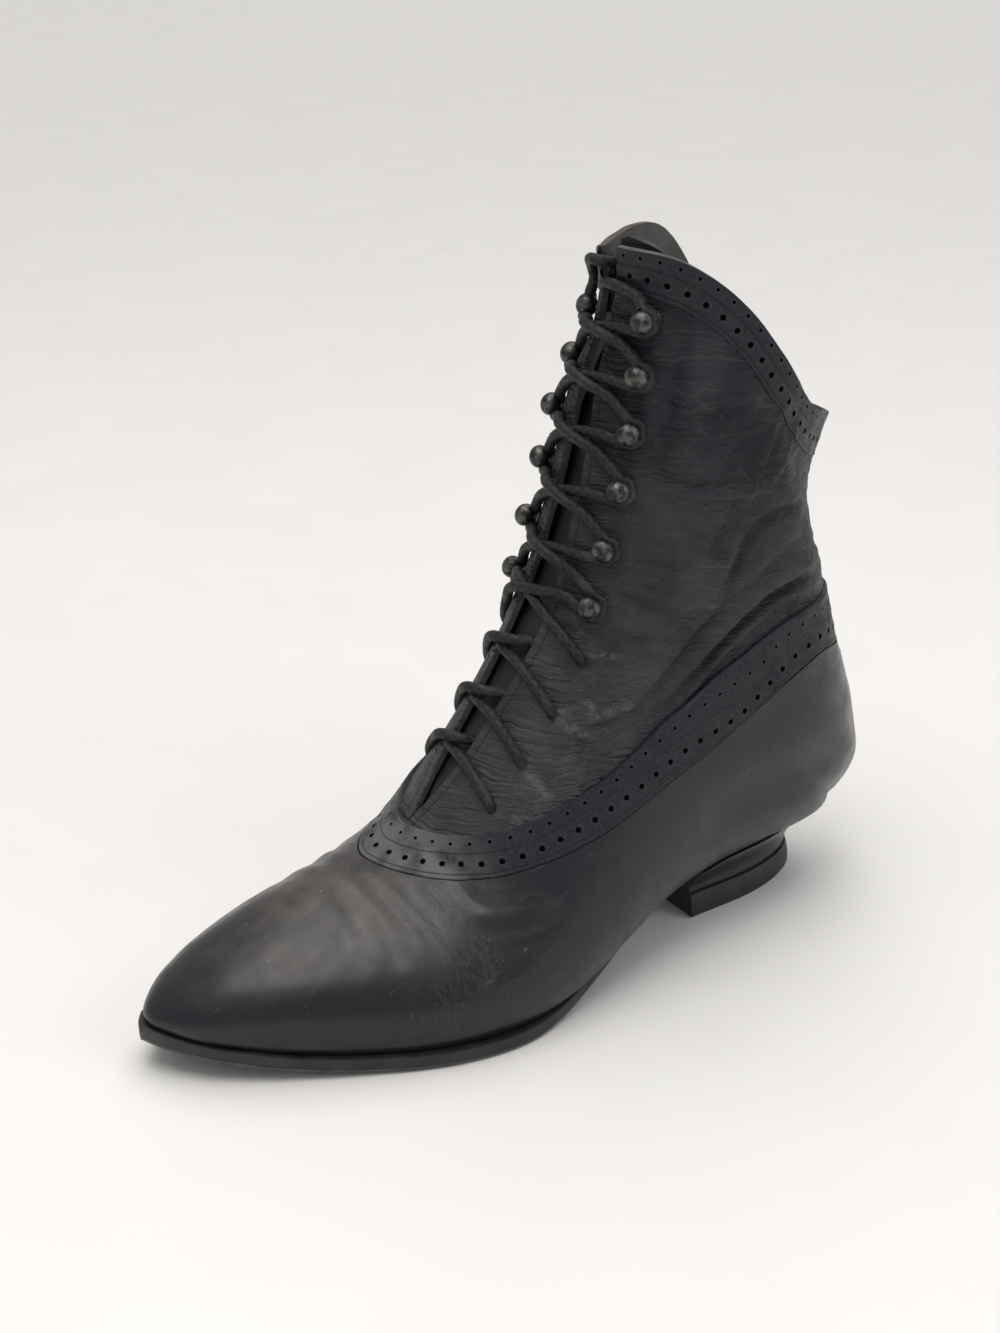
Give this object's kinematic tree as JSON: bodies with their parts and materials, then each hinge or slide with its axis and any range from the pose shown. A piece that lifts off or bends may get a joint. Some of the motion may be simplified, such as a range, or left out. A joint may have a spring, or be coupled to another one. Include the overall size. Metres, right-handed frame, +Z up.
{
  "type": "lace-up ankle boot",
  "caption": "Black leather Victorian style lace-up ankle boot for the left foot, with pointed toe, brogued bands, ball hooks and a low spool heel.",
  "frame": {"origin": "centre of the heel's floor face", "axes": "+X towards the toe, +Y towards the outer (lateral) side, +Z up, standing on its sole"},
  "size_m": [0.2544, 0.0897, 0.2252],
  "materials": {
    "quarter_leather": "matt, fine grain, creased",
    "vamp_leather": "smooth, polished, lightly scuffed",
    "lining": "matt",
    "sole_rubber": "satin",
    "heel_lacquer": "stacked, lacquered",
    "hook_metal": "dark enamelled balls, worn",
    "lace_cord": "braided round cord"
  },
  "bodies": {
    "root": {"upper": "quarter_leather", "vamp_foxing": "vamp_leather", "brogue_band": "quarter_leather", "collar_band": "quarter_leather", "tongue": "quarter_leather", "insole": "lining", "outsole": "sole_rubber", "heel_block": "heel_lacquer", "heel_top_piece": "sole_rubber", "lace_crossings": "lace_cord", "lace_end_lateral": "lace_cord", "lace_end_medial": "lace_cord", "hook_lateral_1": "hook_metal", "hook_lateral_2": "hook_metal", "hook_lateral_3": "hook_metal", "hook_lateral_4": "hook_metal", "hook_lateral_5": "hook_metal", "hook_lateral_6": "hook_metal", "hook_medial_1": "hook_metal", "hook_medial_2": "hook_metal", "hook_medial_3": "hook_metal", "hook_medial_4": "hook_metal", "hook_medial_5": "hook_metal", "hook_medial_6": "hook_metal"}
  },
  "joints": []
}
